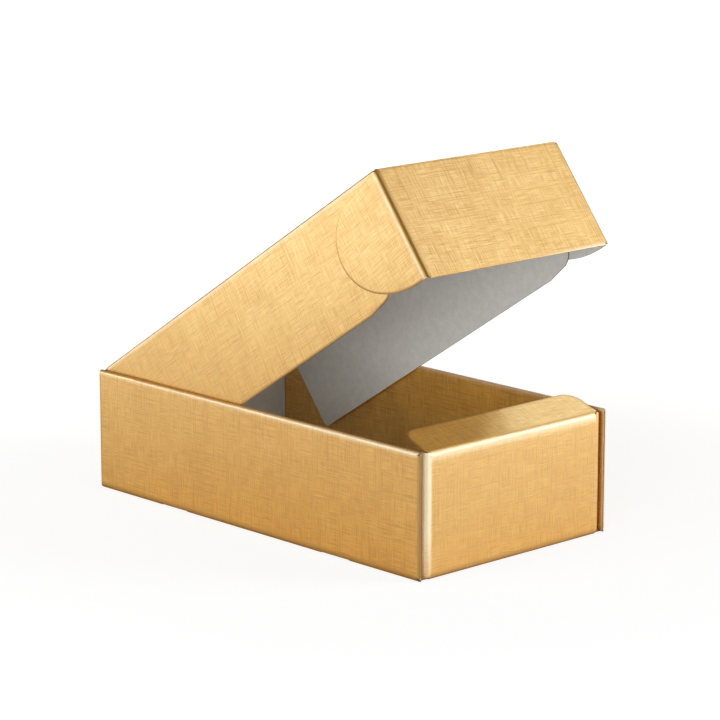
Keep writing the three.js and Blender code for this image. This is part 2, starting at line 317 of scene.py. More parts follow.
def board_piece(name, outline, place, blank, joined=None, cuts_u=(), cuts_v=(), crease=None):
    """A panel cut to its outline on the flat blank, with both papers and its cut edge,
    then carried to its place. joined(u, v) is true where the board goes on, blank(u, v) is
    the spot on the whole blank, and crease(u, v) the film's painted light: a painted highlight
    above 0 and painted shade below."""
    flat = bmesh.new()
    face = flat.faces.new([flat.verts.new((u, v, 0)) for u, v in outline])
    face.normal_update()
    if face.normal.z < 0:
        face.normal_flip()
    divide(flat, 0, cuts_u)
    divide(flat, 1, cuts_v)
    flat.verts.index_update()
    outward = rim_normals(flat)
    rim_loops = [edge.link_loops[0] for edge in flat.edges if len(edge.link_faces) == 1]
    rim = [(loop.vert.index, loop.link_loop_next.vert.index) for loop in rim_loops]
    spots = [vertex.co.copy() for vertex in flat.verts]
    is_joined = [bool(joined and joined(spot.x, spot.y)) for spot in spots]
    room = rim_room(flat, outward, is_joined, PRESSED, (cuts_u, cuts_v))
    points = []
    blanks = []
    painted_light_values = []
    rim_brown_and_shade_values = []

    def add_point(index, depth, back, tone):
        spot = spots[index]
        if index in outward:
            spot = spot - outward[index] * (back * room[index] / PRESSED)
            rim_brown_and_shade_values.append(0.0 if is_joined[index] else tone)
        else:
            rim_brown_and_shade_values.append(0.0)
        points.append(Vector(place(spot.x, spot.y, depth)) * MM)
        blanks.append((*blank(spot.x, spot.y), depth))
        painted_light_values.append(crease(spot.x, spot.y) if crease else 0.0)
        return len(points) - 1

    layers = []
    for level, (back, depth) in enumerate(RIM):
        whole_paper = level in (0, len(RIM) - 1)
        members = range(len(spots)) if whole_paper else sorted(outward)
        layers.append({index: add_point(index, depth, back, RIM_BROWN_AND_SHADE[level]) for index in members})
    faces = []
    kinds = []
    for face in flat.faces:
        ring = [loop.vert.index for loop in face.loops]
        faces.append([layers[0][index] for index in reversed(ring)])
        faces.append([layers[-1][index] for index in ring])
        kinds += [FILM, PAPER]
    for level, kind in enumerate(RIM_MATERIALS):
        low = layers[level]
        high = layers[level + 1]
        for first, second in rim:
            faces.append([low[first], low[second], high[second], high[first]])
            kinds.append(kind)
    flat.free()
    mesh = bpy.data.meshes.new(name)
    mesh.from_pydata(points, [], faces)
    shape = bmesh.new()
    shape.from_mesh(mesh)
    if shape.calc_volume(signed=True) < 0:
        bmesh.ops.reverse_faces(shape, faces=shape.faces[:])
    shape.to_mesh(mesh)
    shape.free()
    for material in (GOLD, GREY, EDGE):
        mesh.materials.append(material)
    mesh.polygons.foreach_set("material_index", kinds)
    mesh.polygons.foreach_set("use_smooth", [True] * len(kinds))
    mesh.attributes.new("blank", "FLOAT_VECTOR", "POINT").data.foreach_set(
        "vector", [number for spot in blanks for number in spot])
    # crease holds the film's painted light: a painted highlight above 0, painted shade below.
    mesh.attributes.new("crease", "FLOAT", "POINT").data.foreach_set("value", painted_light_values)
    # rim holds the pressed margin's brown together with painted shade along the cut edge.
    mesh.attributes.new("rim", "FLOAT", "POINT").data.foreach_set("value", rim_brown_and_shade_values)
    mesh.update()
    mesh.set_sharp_from_angle(angle=SHARP_EDGE)
    piece = bpy.data.objects.new(name, mesh)
    bpy.context.scene.collection.objects.link(piece)
    return piece


def even_cuts(low, high, pitch):
    """Places about a pitch apart between low and high at which a flat panel is divided."""
    count = max(1, round((high - low) / pitch))
    return [low + (high - low) * i / count for i in range(1, count)]


def mirrored(points):
    """An outline's right half, from its near end to its far end, closed by the left half."""
    return points + [(-u, v) for u, v in reversed(points)]


TAB_CENTRES = (-86.0, 86.0)
SLOT_HALF = 14.4
SLOT_INSIDE = 89.0
floor_edge = HALF_WIDTH - SIDE_CREASE
floor_end = HALF_LENGTH - CREASE - SEAM
floor_half = [(floor_edge, -floor_end)]
for centre in TAB_CENTRES:
    floor_half += [(floor_edge, centre - SLOT_HALF), (SLOT_INSIDE, centre - SLOT_HALF)]
    floor_half += [(SLOT_INSIDE, centre + SLOT_HALF), (floor_edge, centre + SLOT_HALF)]
floor_half += [(floor_edge, floor_end)]


def floor_joined(u, v):
    in_slot = any(abs(v - centre) <= SLOT_HALF + NEAR for centre in TAB_CENTRES)
    return abs(v) > floor_end - NEAR or (abs(u) > floor_edge - NEAR and not in_slot)


bottom = board_piece(
    "bottom_board", mirrored(floor_half), lambda u, v, depth: (u, v, depth), lambda u, v: (u, v),
    joined=floor_joined, cuts_u=even_cuts(-88, 88, 30), cuts_v=even_cuts(-165, 165, 30),
)
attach(bottom, "tray")
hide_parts("bottom_panel")

# The front and rear walls are panels of the blank that turn up from the bottom through a
# rounded crease. Each ends just under the crease that carries the dust flap or the lid.
FRONT_AXIS = (-169.5, 88.0)  # the dust flap's hinge line, y and z
HINGE_AXIS = (169.5, 89.5)  # the lid's
BEND = 1.6  # from a hinge line to where its crease ends
FRONT_BEND = 2.4
FRONT_FOLD = 4.0
REAR_FOLD = 3.0
FRONT_HALF = 82.5
REAR_HALF = 88.4
FRONT_FOOT = 1.3
REAR_FOOT = 2.2
LONG_RUN = 200
# Painted light: painted shade on the foot creases, painted highlights on the folds and top.
FOOT_SHADE = -0.9
FRONT_TOP_HIGHLIGHT = 0.5
FRONT_FOLD_HIGHLIGHTS = (1.0, 0.1)  # of the folds at the left and right end
REAR_FOLD_HIGHLIGHTS = (0.3, 0.3)
CREASE_FADE = 2.6
SOFT_FADE = 3.8
TOP_FADE = 6.0
# A fold's painted light is full from this height up, with this share of it at the foot.
FOLD_RISE = 24.0  # a fold has its full tone from this height up
FOLD_FOOT = 0.25  # and this share of it at the foot
FOLD_BREADTH = 1.4


class Strip:
    """A folded strip of board seen end-on. It starts at a point of its gold face and heads
    along +p; each part is a straight run, or a (radius, degrees) turn towards the board."""

    def __init__(self, start, *parts):
        self.spans = []
        point = Vector(start)
        heading = 0.0
        distance = 0.0
        for part in parts:
            ahead = Vector((cos(heading), sin(heading)))
            left = Vector((-ahead.y, ahead.x))
            if isinstance(part, tuple):
                radius = part[0]
                angle = radians(part[1])
                centre = point + left * radius
                self.spans.append((distance, radius * angle, centre, heading, radius))
                heading += angle
                point = centre - Vector((-sin(heading), cos(heading))) * radius
                distance += radius * angle
            else:
                self.spans.append((distance, part, point.copy(), heading, None))
                point = point + ahead * part
                distance += part

    def at(self, distance, depth):
        """The point at a distance along the gold face and a depth below it."""
        chosen = self.spans[0]
        for span in self.spans:
            if span[0] <= distance + 1e-6:
                chosen = span
        begin, _, anchor, heading, radius = chosen
        if radius:
            turned = heading + (distance - begin) / radius
            return anchor - Vector((-sin(turned), cos(turned))) * (radius - depth)
        ahead = Vector((cos(heading), sin(heading)))
        left = Vector((-ahead.y, ahead.x))
        return anchor + ahead * (distance - begin) + left * depth

    def turns(self):
        """Where each bend begins and ends."""
        return [(begin, begin + length) for begin, length, _, _, radius in self.spans if radius]

    def cuts(self, steps=10):
        """Distances at which the mesh of a bend is divided."""
        places = []
        for begin, end in self.turns():
            for share in (0.25, 0.5, 1.0, 1.5):
                places += [begin - CREASE_FADE * share, end + CREASE_FADE * share]
            places += [begin + (end - begin) * i / steps for i in range(steps + 1)]
        return sorted(places)

    def tone(self, distance, *tones, fade=CREASE_FADE):
        """Each bend's painted light in its middle, a painted highlight for a tone above 0 and
        painted shade below, falling to 0 a little way outside the bend.
        """
        found = 0.0
        for (begin, end), tone in zip(self.turns(), tones):
            away = abs(distance - (begin + end) / 2) / ((end - begin) / 2 + fade)
            strength = tone * cos(min(away, 1.0) * pi / 2)
            found = strength if abs(strength) > abs(found) else found
        return found


def fold_painted_light(distance, radius, tone, height=FOLD_RISE):
    """The painted light of an upright fold at a distance in front of its start: a painted
    highlight for a tone above 0, painted shade below. It fades just past the fold, and towards the
    foot."""
    half_turn = radius * pi / 4
    away = min(abs(distance + half_turn) / (half_turn + CREASE_FADE), 1.0)
    across = min(1.0, FOLD_BREADTH * cos(away * pi / 2))
    return tone * across * min(1.0, FOLD_FOOT + height / FOLD_RISE)


def both_sides(half):
    """An outline's half on the +v side, closed by its mirror image."""
    return half + [(u, -v) for u, v in reversed(half)]


def end_wall(name, node, toward, half, axis_height, flap_foot, bend, top_highlight_tone, fold, fold_highlights):
    """The front wall (toward -1) or the rear wall (1), as wide as 2 * half."""
    begin = HALF_LENGTH - CREASE - SEAM
    strip = Strip((begin, 0), SEAM, (CREASE, 90), LONG_RUN)
    top = strip.turns()[0][1] + axis_height - bend - SEAM - CREASE
    foot = strip.turns()[0][1] + flap_foot - CREASE
    outline = both_sides([(0, half), (foot, half), (foot, half - SEAM), (top, half - SEAM)])

    def place(u, v, depth):
        p, q = strip.at(u, depth)
        return v, toward * p, q

    def joined(u, v):
        return u < 0.01 or u > top - NEAR or (u > foot + NEAR and abs(v) > half - SEAM - NEAR)

    # Painted shade along the foot, and a painted highlight under the top and on the upright folds.
    def shade(u, v):
        from_top = top_highlight_tone * max(0.0, 1 - (top - u) / TOP_FADE) ** 2
        from_fold = fold_painted_light(half - abs(v), fold, fold_highlights[0 if v < 0 else 1], u)
        return min(1.0, strip.tone(u, FOOT_SHADE, fade=SOFT_FADE) + from_top + from_fold)

    under_top = [top - TOP_FADE * i / 4 for i in range(1, 5)]
    beside_folds = [side * (half - step) for side in (-1, 1) for step in (1.5, 2.0, 2.7)]
    wall = board_piece(
        name, outline, place, lambda u, v: (v, toward * (begin + u)), joined=joined,
        cuts_u=strip.cuts() + even_cuts(10, top - 8, 25) + under_top,
        cuts_v=even_cuts(-half + 5, half - 5, 25) + beside_folds, crease=shade,
    )
    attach(wall, "tray")
    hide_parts(node)


end_wall(
    "front_wall_board", "front_wall", -1, FRONT_HALF, FRONT_AXIS[1], FRONT_FOOT,
    FRONT_BEND, FRONT_TOP_HIGHLIGHT, FRONT_FOLD, FRONT_FOLD_HIGHLIGHTS,
)
end_wall(
    "rear_wall_board", "rear_wall", 1, REAR_HALF, HINGE_AXIS[1], REAR_FOOT,
    BEND, 0.0, REAR_FOLD, REAR_FOLD_HIGHLIGHTS,
)

# A corner flap turns back from each end of the front and rear walls through a soft upright
# fold. The rear ones are trapped in the double side walls; beside the front ones is a slit.
FLAP_TIP = 65.0
FLAP_TAPER = 7.0
FLAP_ROUND = 12.0
FRONT_OUTSIDE = 86.5
REAR_OUTSIDE = 91.4
FRONT_TOP = 88.5
REAR_TOP = 87.8


def arc(centre_u, centre_v, radius_u, radius_v, start, stop, steps=8):
    """Points on a part of an oval, from one angle to another in degrees."""
    points = []
    for i in range(steps + 1):
        angle = radians(start + (stop - start) * i / steps)
        points.append((centre_u + radius_u * cos(angle), centre_v + radius_v * sin(angle)))
    return points


def corner_flap(name, node, side, toward, outside, fold, foot, top, tone):
    """A flap on the left (side -1) or right (1) of the front (toward -1) or rear wall."""
    half = outside - fold
    strip = Strip((half - SEAM, -HALF_LENGTH), SEAM, (fold, 90), LONG_RUN)
    flat_from = strip.turns()[0][1]
    tip = flat_from + FLAP_TIP - fold
    low = foot + FLAP_TAPER
    high = top - FLAP_TAPER
    outline = [
        (0, foot), (flat_from, foot),
        *arc(tip - FLAP_ROUND, low + FLAP_ROUND, FLAP_ROUND, FLAP_ROUND, -90, 0),
        *arc(tip - FLAP_ROUND, high - FLAP_ROUND, FLAP_ROUND, FLAP_ROUND, 0, 90),
        (flat_from, top), (0, top),
    ]

    def place(u, v, depth):
        p, q = strip.at(u, depth)
        return side * p, -toward * q, v

    # The fold has a painted highlight, like the upright fold of the wall it turns from.
    flap = board_piece(
        name, outline, place, lambda u, v: (side * (half - SEAM + u), toward * (HALF_LENGTH + v)),
        joined=lambda u, v: u < 0.01,
        cuts_u=strip.cuts() + even_cuts(flat_from + 2, tip - 2, 20),
        cuts_v=even_cuts(foot, top, 25),
        crease=lambda u, v: fold_painted_light(SEAM - u, fold, tone, v),
    )
    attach(flap, "tray")
    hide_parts(node)


SIDES = ((-1, "left"), (1, "right"))
for (side, label), front_tone, rear_tone in zip(SIDES, FRONT_FOLD_HIGHLIGHTS, REAR_FOLD_HIGHLIGHTS):
    corner_flap(
        f"front_corner_flap_{label}_board", f"front_corner_flap_{label}", side, -1,
        FRONT_OUTSIDE, FRONT_FOLD, FRONT_FOOT, FRONT_TOP, front_tone,
    )
    corner_flap(
        f"rear_corner_flap_{label}_board", f"rear_corner_flap_{label}", side, 1,
        REAR_OUTSIDE, REAR_FOLD, REAR_FOOT, REAR_TOP, rear_tone,
    )

# Each side wall is rolled over: an outer layer, a narrow strip on top between two
# creases, and an inner layer whose two tabs lock in the slots along the bottom crease.
# At the front the outer layer is turned in as a lip that closes the space between them.
HEIGHT = 90.0
SIDE_INSIDE = 89.3
INNER_TOP_CREASE = 1.1
TOP_CREASE = HALF_WIDTH - SIDE_INSIDE - INNER_TOP_CREASE
WALL_RISE = HEIGHT - SIDE_CREASE - TOP_CREASE
INNER_REAR = 166.7
TAB_HALF = 14.0
TAB_TIP = 0.1
LIP_TURN = 84.0
NOTCH_TURN = 0.9935  # radians of the crease that a slot cuts away, up to the board's thickness
# Painted light on the side walls: below 0 painted shade, above 0 a painted highlight.
LIP_PAINTED_LIGHT = {-1: -0.9, 1: 0.1}  # on the left and right side wall
INNER_CREASE_PAINTED_LIGHT = {-1: -0.4, 1: 0.4}
# The shine is a painted highlight along the top of each side wall.
SHINE = 0.95
SHINE_AT = 0.6
SHINE_FADE = 2.8
SHINE_REAR = 0.35
# A painted highlight along the inner layer's front edge.
INNER_FRONT_HIGHLIGHT = 0.5
END_FADE = 3.0
side_edge = HALF_WIDTH - SIDE_CREASE
end_fold_y = SIDE_CREASE - HALF_LENGTH
side_strip = Strip(
    (side_edge, 0), (SIDE_CREASE, 90), WALL_RISE,
    (TOP_CREASE, 90), (INNER_TOP_CREASE, 90), LONG_RUN,
)
(_, outer_foot), (top_begin, _), (_, top_end) = side_strip.turns()
notch = SIDE_CREASE * NOTCH_TURN
lip_reach = SIDE_CREASE * radians(LIP_TURN)


def side_place(side):
    """Carries a spot of the left (-1) or right (1) side wall's strip to its place, and turns
    the outer layer's lip in round the front corner."""
    def place(u, v, depth):
        p, q = side_strip.at(u, depth)
        if v < end_fold_y - 1e-4 and outer_foot - 1e-4 <= u <= top_begin + 1e-4:
            turned = (end_fold_y - v) / SIDE_CREASE
            radius = SIDE_CREASE - depth
            return side * (side_edge + radius * cos(turned)), end_fold_y - radius * sin(turned), q
        return side * p, v, q
    return place


def front_end(u):
    """Where the rounded front corner cuts the strip off."""
    across = max(0.0, side_strip.at(u, 0)[0] - side_edge)
    return end_fold_y - sqrt(max(0.0, SIDE_CREASE ** 2 - across ** 2))


def side_piece(name, nodes, side, outline, joined):
    """One length of the rolled-over strip of the left (-1) or right (1) side wall."""
    def side_painted_light(u, v):
        """Painted shade at the foot, a painted highlight on the top that grows towards the front,
        painted shade on the left inner crease and a painted highlight on the right one, a painted
        highlight on the front edge inside, and painted shade on the left lip with a faint painted
        highlight on the right one."""
        foot = side_strip.tone(u, FOOT_SHADE, fade=SOFT_FADE)
        forward = SHINE_REAR + (1 - SHINE_REAR) * (HALF_LENGTH - v) / (2 * HALF_LENGTH)
        shine = SHINE * forward * max(0.0, 1 - abs(u - top_begin - SHINE_AT) / SHINE_FADE)
        past_shine = min(1.0, max(0.0, u - top_begin - 2.0))
        past_crease = max(0.0, 1 - max(0.0, u - top_end) / CREASE_FADE)
        inner = INNER_CREASE_PAINTED_LIGHT[side] * past_shine * past_crease
        front_edge = INNER_FRONT_HIGHLIGHT * max(0.0, 1 - (v + HALF_LENGTH) / END_FADE) if u > top_end else 0.0
        tone = foot + shine * (1 - past_shine) + inner + front_edge
        on_lip = min(1.0, max(0.0, (end_fold_y + 0.3 - v) / 1.2)) if u < top_begin else 0.0
        return tone * (1 - on_lip) + LIP_PAINTED_LIGHT[side] * on_lip

    lowest = min(u for u, v in outline)
    highest = max(u for u, v in outline)
    bends = [u for u in side_strip.cuts() if lowest + NEAR < u < highest - NEAR]
    ends = [end_fold_y - lip_reach * i / 8 for i in range(-1, 9)]
    wall = board_piece(
        name, outline, side_place(side), lambda u, v: (side * (side_edge + u), v), joined=joined,
        cuts_u=bends + even_cuts(lowest + 2, highest - 2, 25),
        cuts_v=ends + even_cuts(-165, HALF_LENGTH, 20), crease=side_painted_light,
    )
    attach(wall, "tray")
    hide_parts(*nodes)


lip_end = end_fold_y - lip_reach
outer_top = top_begin - SEAM
inner_top = top_end + SEAM
inner_foot = top_end + HEIGHT - INNER_TOP_CREASE - BOARD
foot_round = [outer_foot * i / 6 for i in range(7)]
top_round = [top_begin + (top_end - top_begin) * i / 10 for i in range(11)]
for side, label in SIDES:
    outer = [(u, front_end(u)) for u in reversed(foot_round)]
    for centre in TAB_CENTRES:
        outer += [(0, centre - SLOT_HALF), (notch, centre - SLOT_HALF)]
        outer += [(notch, centre + SLOT_HALF), (0, centre + SLOT_HALF)]
    outer += [(0, HALF_LENGTH), (outer_top, HALF_LENGTH)]
    outer += [(outer_top, lip_end), (outer_foot + 0.1, lip_end)]

    def outer_joined(u, v):
        in_slot = any(abs(v - centre) <= SLOT_HALF + NEAR for centre in TAB_CENTRES)
        return u > outer_top - NEAR or (u < 0.01 and not in_slot)

    outer_nodes = (f"side_wall_outer_{label}", f"side_wall_lip_{label}")
    side_piece(f"side_wall_outer_{label}_board", outer_nodes, side, outer, outer_joined)
    top = [(outer_top, lip_end), (outer_top, HALF_LENGTH)]
    top += [(inner_top, HALF_LENGTH), (inner_top, -HALF_LENGTH)]
    top += [(u, front_end(u)) for u in reversed(top_round)] + [(top_begin - 0.1, lip_end)]
    side_piece(
        f"side_wall_top_{label}_board", (f"side_wall_top_{label}",), side, top,
        lambda u, v: u < outer_top + NEAR or u > inner_top - NEAR,
    )
    inner = [(inner_top, -HALF_LENGTH), (inner_top, INNER_REAR), (inner_foot, INNER_REAR)]
    tab_end = inner_foot + BOARD - TAB_TIP
    for centre in reversed(TAB_CENTRES):
        inner += [(inner_foot, centre + TAB_HALF), (tab_end, centre + TAB_HALF - BOARD)]
        inner += [(tab_end, centre - TAB_HALF + BOARD), (inner_foot, centre - TAB_HALF)]
    inner += [(inner_foot, -HALF_LENGTH)]
    side_piece(
        f"side_wall_inner_{label}_board", (f"side_wall_inner_{label}",), side, inner,
        lambda u, v: u < inner_top + NEAR,
    )

# The dust flap hinges on the front wall's top crease and stands up about 20 degrees.
# The crease between them is board too, bent to the flap's angle.
DUST_RAISE = 20.0
DUST_DEPTH = 28.5
DUST_HALF = 84.2
DUST_ROUND = 12.0
DUST_CREASE_HIGHLIGHT = 0.5
DUST_CREASE_BLANK = HALF_LENGTH + FRONT_AXIS[1]


def crease_strip(name, outline, place_local, first, turned, blank, tone, bend=BEND):
    """A strip of board bent across a joint. place_local turns (x, p, q) into the row frame;
    the strip comes in along first (degrees) and is turned by turned degrees at the axis."""
    radius = bend / tan(radians(turned / 2))
    start = radians(first)
    centre = Vector((cos(start), sin(start))) * -bend + Vector((-sin(start), cos(start))) * radius

    def bent(u, depth):
        share = min(max((u + bend) / (2 * bend), 0), 1)
        angle = radians(first + turned * share)
        ahead = Vector((cos(angle), sin(angle)))
        right = Vector((ahead.y, -ahead.x))
        if abs(u) > bend:
            return ahead * u + right * (BOARD / 2 - depth)
        return centre + right * (radius + BOARD / 2 - depth)

    def place(u, v, depth):
        p, q = bent(u, depth)
        return place_local(v, p, q)

    reach = bend + SEAM
    steps = [bend * i / 8 for i in range(-8, 9)]
    strip = board_piece(
        name, outline, place, blank, joined=lambda u, v: abs(u) > reach - NEAR,
        cuts_u=steps, cuts_v=even_cuts(-80, 80, 20), crease=lambda u, v: tone(u),
    )
    start = Vector(place_local(0, *(Vector((cos(start), sin(start))) * -bend))) * MM
    last = radians(first + turned)
    end = Vector(place_local(0, *(Vector((cos(last), sin(last))) * bend))) * MM
    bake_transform(strip)


dust_reach = FRONT_BEND + SEAM
front_half = FRONT_HALF - SEAM
dust_root = DUST_HALF - 0.1
dust_crease_half = [
    (-dust_reach, front_half), (0.5, front_half), (0.9, DUST_HALF - 1.0),
    (2.1, dust_root), (dust_reach, dust_root),
]
# The crease and the top of the front wall have a painted highlight.
crease_strip(
    "dust_flap_crease", both_sides(dust_crease_half),
    lambda x, p, q: (x, FRONT_AXIS[0] - p, FRONT_AXIS[1] + q), 90, 90 - DUST_RAISE,
    lambda u, v: (v, -(DUST_CREASE_BLANK + u)),
    lambda u: DUST_CREASE_HIGHLIGHT * min(1.0, max(0.0, 0.6 - u / 2)), bend=FRONT_BEND,
)

dust_half = [
    (dust_reach, dust_root),
    *arc(DUST_DEPTH - DUST_ROUND, DUST_HALF - DUST_ROUND, DUST_ROUND, DUST_ROUND, 90, 0, 12),
]
rise = radians(DUST_RAISE)


def dust_place(u, v, depth):
    lift = BOARD / 2 - depth
    y = FRONT_AXIS[0] + u * cos(rise) - lift * sin(rise)
    return v, y, FRONT_AXIS[1] + u * sin(rise) + lift * cos(rise)


dust = board_piece(
    "dust_flap_board", both_sides(dust_half), dust_place,
    lambda u, v: (v, -(DUST_CREASE_BLANK + u)), joined=lambda u, v: u < dust_reach + NEAR,
    cuts_u=[8, 14, 20], cuts_v=even_cuts(-80, 80, 20),
)
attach(dust, "dust_flap")
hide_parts("dust_flap")

# The lid is one wide panel on the rear wall's top crease, held open about 32 degrees.
# Its crease is board too, bent to the lid's angle.
LID_OPEN = 32.5
LID_FOLD = 345.5  # from the hinge line to the front panel's
LID_HALF = 86.3
SIDE_FRONT = 342.0  # where the side flaps end
SIDE_REAR = 3.0
# A painted highlight on the hinge crease.
HINGE_HIGHLIGHT = 0.4
# Painted shade along the lid's side creases.
LID_EDGE_SHADE = -0.9
opened = radians(LID_OPEN)
forward = Vector((0, -cos(opened), sin(opened)))
upward = Vector((0, sin(opened), cos(opened)))
hinge = Vector((0, *HINGE_AXIS))
LID_BLANK = HALF_LENGTH + HINGE_AXIS[1]


def lid_point(x, w, height):
    """A point of the lid: w forward of the hinge, height above the middle of the board."""
    return hinge + Vector((x, 0, 0)) + forward * w + upward * height


reach = BEND + SEAM
rear_half = REAR_HALF - SEAM
hinge_half = [(-reach, rear_half), (-0.6, rear_half), (0.4, LID_HALF), (reach, LID_HALF)]
# The hinge crease has a painted highlight.
crease_strip(
    "lid_hinge_crease", both_sides(hinge_half),
    lambda x, p, q: (x, HINGE_AXIS[0] + p, HINGE_AXIS[1] + q), 90, 90 - LID_OPEN,
    lambda u, v: (v, LID_BLANK + u), lambda u: HINGE_HIGHLIGHT * max(0.0, 1 - abs(u) / BEND),
)

lid_half = [
    (reach, LID_HALF), (SIDE_REAR, LID_HALF), (SIDE_REAR, LID_HALF - SEAM),
    (SIDE_FRONT, LID_HALF - SEAM), (SIDE_FRONT, LID_HALF), (LID_FOLD - reach, LID_HALF),
]


def lid_joined(u, v):
    at_ends = u < reach + NEAR or u > LID_FOLD - reach - NEAR
    return at_ends or (SIDE_REAR + NEAR < u < SIDE_FRONT - NEAR and abs(v) > LID_HALF - SEAM - NEAR)


# The lid's side creases carry painted shade.
lid = board_piece(
    "lid_board", both_sides(lid_half),
    lambda u, v, depth: lid_point(v, u, BOARD / 2 - depth), lambda u, v: (v, LID_BLANK + u),
    joined=lid_joined, cuts_u=even_cuts(5, 338, 25),
    cuts_v=even_cuts(-82, 82, 25) + [-84.5, -83.5, 83.5, 84.5],
    crease=lambda u, v: fold_painted_light(LID_HALF - abs(v), CREASE, LID_EDGE_SHADE),
)
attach(lid, "lid")
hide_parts("lid_panel")

# A side flap hangs from each edge of the lid through a rounded crease. Towards the front
# its lower edge rises a little, turns a round corner and leans forward up to the lid.
SIDE_DEPTH = 83.5
TAPER_FROM = 289.0
TAPER_TO = 306.0
TAPER_RISE = 3.0
CORNER_ROUND = 13.5
FRONT_LEAN = 62.0
REAR_SLOPE = 8.0
REAR_ROUND = 5.0
PLATE_REAR = 2.0
FLAP_TOP_HIGHLIGHT = 0.6
flap_strip = Strip((LID_HALF - SEAM, -BOARD / 2), SEAM, (CREASE, 90), LONG_RUN)
bend_end = flap_strip.turns()[0][1]


def drop(depth_below_top):
    """Distance along the flap's strip for a depth below the lid's upper face."""
    return bend_end + depth_below_top - CREASE


def flap_painted_light(u, v):
    """Painted shade across the crease, and a painted highlight just under it."""
    below = u - bend_end
    if below < -0.3:
        return LID_EDGE_SHADE
    return FLAP_TOP_HIGHLIGHT * max(0.0, 1 - below / CREASE_FADE)


taper_turn = degrees(atan2(TAPER_RISE, TAPER_TO - TAPER_FROM))
for side, label in SIDES:
    bottom_u = drop(SIDE_DEPTH)
    rear_foot = PLATE_REAR + REAR_SLOPE + REAR_ROUND
    outline = [(0, SIDE_REAR), (bend_end, SIDE_REAR), (bend_end + 0.3, PLATE_REAR)]
    for turn in (90, 75, 60, 45, 30, 15, 0):
        above = REAR_ROUND * (1 - cos(radians(turn)))
        outline.append((bottom_u - above, rear_foot - REAR_ROUND * sin(radians(turn))))
    centre_u = bottom_u - TAPER_RISE - CORNER_ROUND * cos(radians(taper_turn))
    centre_v = TAPER_TO - CORNER_ROUND * sin(radians(taper_turn))
    corner = arc(centre_u, centre_v, CORNER_ROUND, CORNER_ROUND, taper_turn, FRONT_LEAN, 12)
    last_u, last_v = corner[-1]
    lean = (SIDE_FRONT - last_v) * tan(radians(FRONT_LEAN))
    outline += [(bottom_u, TAPER_FROM), *corner, (last_u - lean, SIDE_FRONT), (0, SIDE_FRONT)]

    def place(u, v, depth, side=side):
        p, q = flap_strip.at(u, depth)
        return lid_point(side * p, v, -q)

    flap = board_piece(
        f"lid_side_flap_{label}_board", outline, place,
        lambda u, v, side=side: (side * (LID_HALF - SEAM + u), LID_BLANK + v),
        joined=lambda u, v: u < 0.01,
        cuts_u=flap_strip.cuts() + even_cuts(bend_end + 2, bottom_u - 2, 20),
        cuts_v=even_cuts(5, 338, 25), crease=flap_painted_light,
    )
    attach(flap, "lid")
    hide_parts(f"lid_side_flap_{label}")

# The lid's front panel hangs from its front crease and swings out about 5 degrees.
# The crease is board too, bent to the panel's angle.
SWING = 5.0
PANEL_HALF = 86.0
ROOT_HALF = 85.6
PANEL_FOOT = 84.0
# Painted shade on the front crease and the left ear's fold, a painted highlight along the foot.
PANEL_FOOT_HIGHLIGHT_FADE = 3.0
FRONT_CREASE_SHADE = -0.3
EAR_FOLD = 3.0
EAR_FOLD_SHADES = {-1: -0.6, 1: 0.0}  # of the left and right ear's fold
front_axis = lid_point(0, LID_FOLD, 0)
swung = radians(LID_OPEN + SWING)
facing = Vector((0, -cos(swung), sin(swung)))
downward = Vector((0, -sin(swung), -cos(swung)))
FRONT_BLANK = LID_BLANK + LID_FOLD


def front_point(x, down, out):
    """A point of the front panel: down from its crease, out from the middle of the board."""
    return front_axis + Vector((x, 0, 0)) + downward * down + facing * out


front_crease_half = [(-reach, LID_HALF), (0, LID_HALF), (0.6, ROOT_HALF), (reach, ROOT_HALF)]
crease_strip(
    "lid_front_crease", both_sides(front_crease_half),
    lambda x, p, q: lid_point(x, LID_FOLD + p, -q), 0, 90 - SWING,
    lambda u, v: (v, FRONT_BLANK + u), lambda u: FRONT_CREASE_SHADE * max(0.0, 1 - abs(u) / BEND),
)

ear_top = reach + 0.4
ear_bottom = PANEL_FOOT - 1.0
panel_half = [
    (reach, ROOT_HALF), (ear_top, ROOT_HALF), (ear_top, PANEL_HALF - SEAM),
    (ear_bottom, PANEL_HALF - SEAM), (ear_bottom, PANEL_HALF), (PANEL_FOOT, PANEL_HALF),
]


def panel_joined(u, v):
    beside_ear = ear_top + NEAR < u < ear_bottom - NEAR
    return u < reach + NEAR or (beside_ear and abs(v) > PANEL_HALF - SEAM - NEAR)


def panel_painted_light(u, v):
    """Painted shade beside the left ear's fold, and a painted highlight along the foot towards the
    right.
    """
    side = -1 if v < 0 else 1
    foot_highlight = max(0.0, 1 - (PANEL_FOOT - u) / PANEL_FOOT_HIGHLIGHT_FADE) * max(0.0, v / PANEL_HALF)
    return fold_painted_light(PANEL_HALF - abs(v), EAR_FOLD, EAR_FOLD_SHADES[side]) + foot_highlight


panel = board_piece(
    "lid_front_board", both_sides(panel_half),
    lambda u, v, depth: front_point(v, u, BOARD / 2 - depth), lambda u, v: (v, FRONT_BLANK + u),
    joined=panel_joined, cuts_u=even_cuts(4, 80, 20) + [81.0, 82.0], crease=panel_painted_light,
    cuts_v=even_cuts(-82, 82, 25) + [-84.2, -83.3, 83.3, 84.2],
)
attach(panel, "lid_front")
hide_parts("lid_front_panel")

